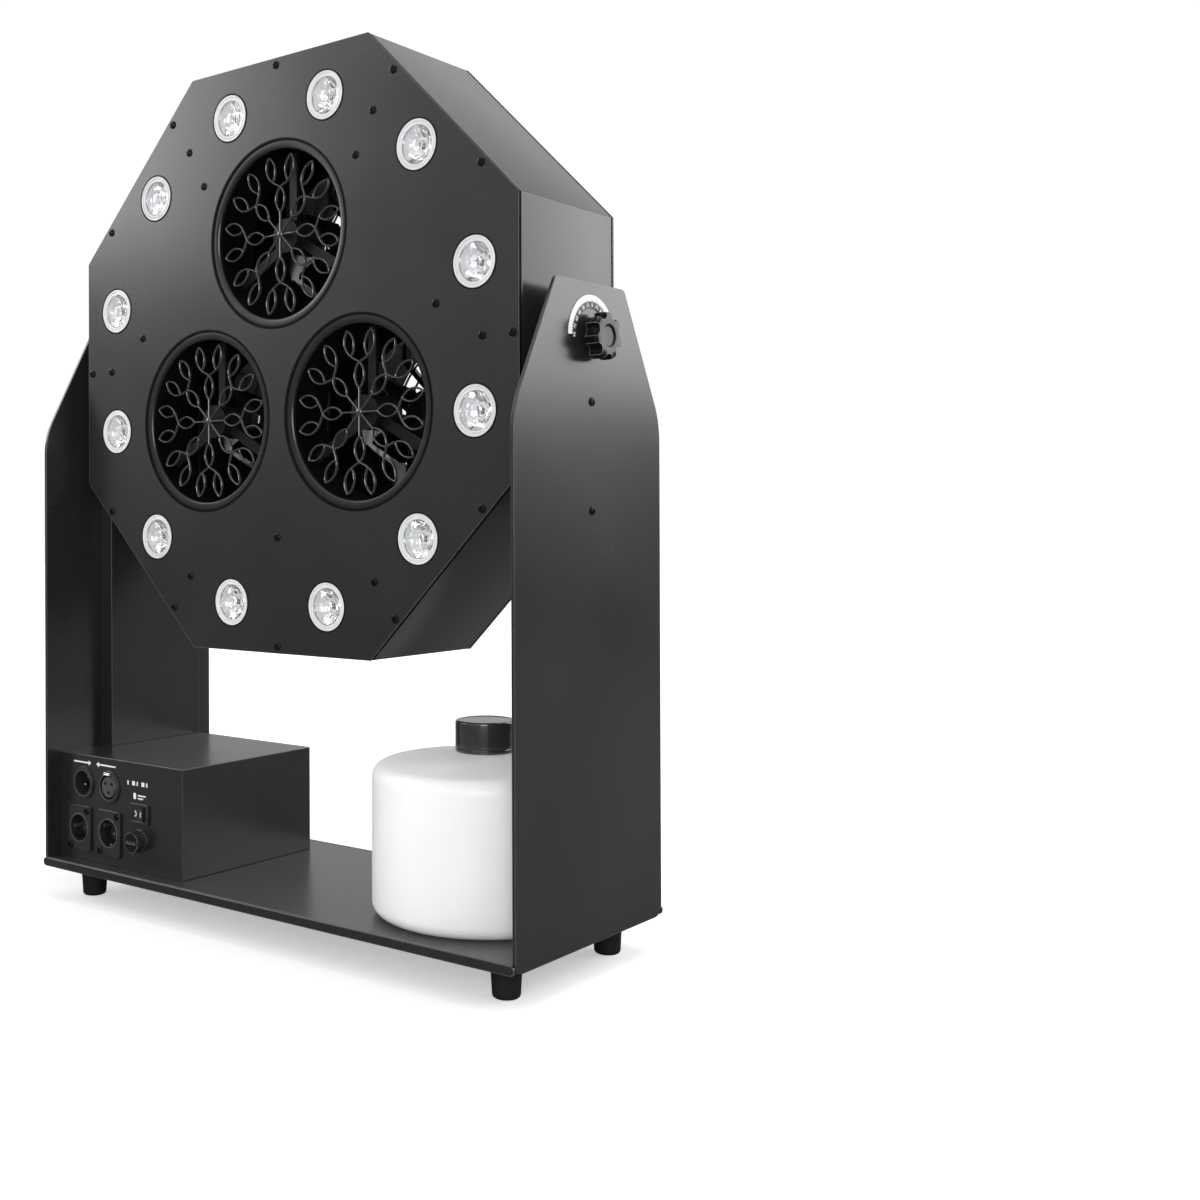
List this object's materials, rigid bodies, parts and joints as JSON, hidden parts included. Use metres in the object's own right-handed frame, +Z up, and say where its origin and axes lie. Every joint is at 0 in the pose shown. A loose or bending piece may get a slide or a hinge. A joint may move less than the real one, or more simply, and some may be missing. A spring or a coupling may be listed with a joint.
{
  "type": "fog and bubble machine",
  "caption": "Stage fog and bubble machine: an octagonal head with wand wheels and a lamp ring tilts in an upright frame over a control box and a fluid bottle.",
  "frame": {"origin": "on the floor under the middle of the frame, at the centre of the box's bottom face", "axes": "+Z up, -Y out of the front, X along the tilt axis"},
  "size_m": [0.4818, 0.174, 0.6203],
  "materials": {
    "black_powder_coat": "satin black powder coat on steel sheet",
    "rubber": "matt moulded rubber",
    "black_zinc": "black zinc plated screws",
    "bright_steel": "zinc plated steel",
    "dial_print": "white printed scale with black marks",
    "knob_plastic": "black moulded plastic",
    "connector_plastic": "black moulded connector shells",
    "contact_brass": "plated contacts",
    "latch_metal": "plated latch",
    "fuse_glass": "glass fuse tube",
    "circuit_board": "green board with parts",
    "supply_case": "folded aluminium case",
    "pump_body": "moulded pump",
    "bottle_white": "translucent white blow-moulded polyethylene",
    "cap_black": "black screw cap",
    "liner": "soft liner",
    "lens_clear": "clear moulded lens",
    "heat_sink": "cast heat sink",
    "wand_black": "glossy black wand wheel",
    "bezel_black": "black moulded bezel",
    "motor_case": "small geared motor",
    "fan_black": "black fan moulding",
    "heater_jacket": "bright sheet jacket",
    "bush_steel": "turned steel bush"
  },
  "bodies": {
    "frame": {"base_plate": "black_powder_coat", "left_side_plate": "black_powder_coat", "right_side_plate": "black_powder_coat", "front_left_foot": "rubber", "front_right_foot": "rubber", "rear_left_foot": "rubber", "rear_right_foot": "rubber", "foot_screws": "bright_steel", "left_duct": "black_powder_coat", "right_duct": "black_powder_coat", "frame_screws": "black_zinc", "left_dial": "dial_print", "right_dial": "dial_print", "control_box": "black_powder_coat", "data_inlet": "connector_plastic", "data_outlet": "connector_plastic", "mains_inlet": "connector_plastic", "mains_outlet": "connector_plastic", "contact_pins": "contact_brass", "switch_frame": "connector_plastic", "fuse_holder": "connector_plastic", "power_supply": "supply_case", "control_board": "circuit_board", "fluid_pump": "pump_body"},
    "outlet_latch": {"outlet_latch": "latch_metal"},
    "switch_rocker": {"switch_rocker": "connector_plastic"},
    "fuse_carrier": {"fuse": "fuse_glass"},
    "fuse_cap": {"fuse_cap": "connector_plastic"},
    "bottle": {"bottle": "bottle_white"},
    "cap_liner": {"cap_liner": "liner"},
    "bottle_cap": {"bottle_cap": "cap_black"},
    "head": {"front_panel": "black_powder_coat", "head_shell": "black_powder_coat", "back_panel": "black_powder_coat", "face_screws": "black_zinc", "back_screws": "black_zinc", "top_bezel": "bezel_black", "left_bezel": "bezel_black", "right_bezel": "bezel_black", "lamp_lenses": "lens_clear", "lamp_modules": "heat_sink", "top_wand_motor": "motor_case", "left_wand_motor": "motor_case", "right_wand_motor": "motor_case", "top_fan_frame": "fan_black", "left_fan_frame": "fan_black", "right_fan_frame": "fan_black", "finger_guards": "black_powder_coat", "fog_heater": "heater_jacket", "fluid_manifold": "contact_brass", "left_pivot_bush": "bush_steel", "right_pivot_bush": "bush_steel"},
    "left_knob": {"left_knob": "knob_plastic"},
    "right_knob": {"right_knob": "knob_plastic"},
    "top_wand": {"top_wand": "wand_black"},
    "left_wand": {"left_wand": "wand_black"},
    "right_wand": {"right_wand": "wand_black"},
    "top_fan": {"top_fan": "fan_black"},
    "left_fan": {"left_fan": "fan_black"},
    "right_fan": {"right_fan": "fan_black"}
  },
  "joints": [
    {"name": "head_tilt", "type": "hinge", "parent": "frame", "child": "head", "pos_m": [0, 0, 0.41019], "axis": [1, 0, 0], "range_deg": [-90, 90]},
    {"name": "left_knob_turn", "type": "hinge", "parent": "head", "child": "left_knob", "pos_m": [-0.22731, 0, 0.41019], "axis": [1, 0, 0], "range_deg": [-360, 360]},
    {"name": "right_knob_turn", "type": "hinge", "parent": "head", "child": "right_knob", "pos_m": [0.22731, 0, 0.41019], "axis": [1, 0, 0], "range_deg": [-360, 360]},
    {"name": "top_wand_spin", "type": "hinge", "parent": "head", "child": "top_wand", "pos_m": [0, -0.05, 0.49621], "axis": [0, 1, 0], "continuous": true},
    {"name": "left_wand_spin", "type": "hinge", "parent": "head", "child": "left_wand", "pos_m": [-0.0745, -0.05, 0.36718], "axis": [0, 1, 0], "continuous": true},
    {"name": "right_wand_spin", "type": "hinge", "parent": "head", "child": "right_wand", "pos_m": [0.0745, -0.05, 0.36718], "axis": [0, 1, 0], "continuous": true},
    {"name": "top_fan_spin", "type": "hinge", "parent": "head", "child": "top_fan", "pos_m": [0, 0.034, 0.49621], "axis": [0, 1, 0], "continuous": true},
    {"name": "left_fan_spin", "type": "hinge", "parent": "head", "child": "left_fan", "pos_m": [-0.0745, 0.034, 0.36718], "axis": [0, 1, 0], "continuous": true},
    {"name": "right_fan_spin", "type": "hinge", "parent": "head", "child": "right_fan", "pos_m": [0.0745, 0.034, 0.36718], "axis": [0, 1, 0], "continuous": true},
    {"name": "outlet_latch_press", "type": "slide", "parent": "frame", "child": "outlet_latch", "axis": [0, 1, 0], "range_m": [0, 0.0012], "stiffness_N_per_m": 800},
    {"name": "switch_rock", "type": "hinge", "parent": "frame", "child": "switch_rocker", "pos_m": [-0.12771, -0.0695, 0.074], "axis": [0, 0, 1], "range_deg": [0, 18]},
    {"name": "fuse_slide", "type": "slide", "parent": "frame", "child": "fuse_carrier", "axis": [0, -1, 0], "range_m": [0, 0.035]},
    {"name": "fuse_cap_turn", "type": "hinge", "parent": "fuse_carrier", "child": "fuse_cap", "pos_m": [-0.12771, -0.0725, 0.054], "axis": [0, 1, 0], "range_deg": [-90, 0]},
    {"name": "bottle_slide", "type": "slide", "parent": "frame", "child": "bottle", "axis": [0, -1, 0], "range_m": [0, 0.12]},
    {"name": "cap_liner_lift", "type": "slide", "parent": "bottle", "child": "cap_liner", "axis": [0, 0, 1], "range_m": [0, 0.0054]},
    {"name": "bottle_cap_turn", "type": "hinge", "parent": "cap_liner", "child": "bottle_cap", "pos_m": [0.14021, 0.002, 0.1385], "axis": [0, 0, 1], "range_deg": [0, 450]}
  ],
  "couplings": [
    {"joint": "cap_liner_lift", "follows": "bottle_cap_turn", "m_per_rad": 0.00066845}
  ]
}
